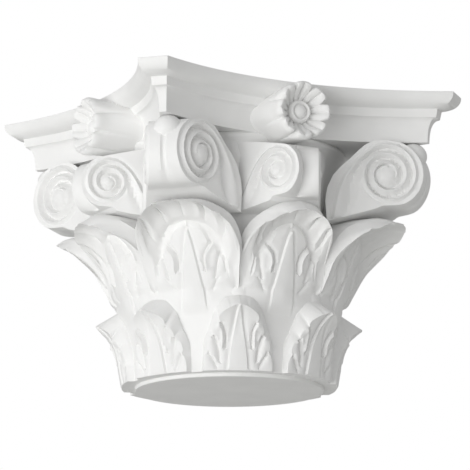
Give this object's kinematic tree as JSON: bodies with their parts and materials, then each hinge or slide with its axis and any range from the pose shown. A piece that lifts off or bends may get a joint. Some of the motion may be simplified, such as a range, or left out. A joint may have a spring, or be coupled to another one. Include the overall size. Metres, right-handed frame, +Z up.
{
  "type": "corinthian capital",
  "caption": "Round column capital in the Corinthian style: two rows of curled leaves, corner scrolls, a flower on each side and a hollow-sided top slab.",
  "frame": {"origin": "centre of the spigot's underside", "axes": "+Z up the column axis; the hollow sides of the top slab face +X, -X, +Y and -Y, its horns lie on the diagonals"},
  "size_m": [0.3382, 0.3382, 0.2715],
  "materials": {
    "foam": "smooth white primed rigid foam, matte"
  },
  "bodies": {
    "root": {"capital": "foam"}
  },
  "joints": []
}
